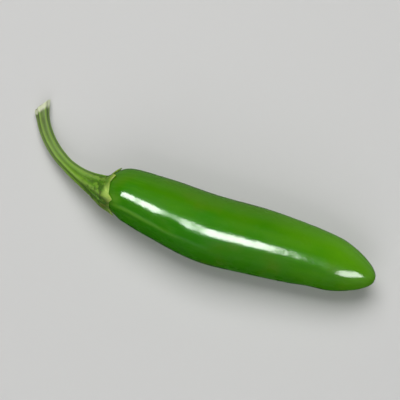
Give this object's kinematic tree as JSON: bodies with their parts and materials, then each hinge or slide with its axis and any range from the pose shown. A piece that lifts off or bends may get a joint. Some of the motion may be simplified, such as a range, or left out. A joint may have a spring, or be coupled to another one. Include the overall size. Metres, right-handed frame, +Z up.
{
  "type": "chilli pepper",
  "caption": "Fresh green chilli pepper, picked and lying on its side, with a glossy bowed pod, a ribbed calyx and a hooked stem.",
  "frame": {"origin": "centre of the footprint, on the surface that the pepper lies on", "axes": "+X along the pod from its calyx to its tip, +Y towards the side that the stem hooks to, +Z up"},
  "size_m": [0.109, 0.0342, 0.0199],
  "materials": {
    "pod_skin": "gloss",
    "stem_skin": "matte"
  },
  "bodies": {
    "root": {"pod": "pod_skin", "stem_and_calyx": "stem_skin"}
  },
  "joints": []
}
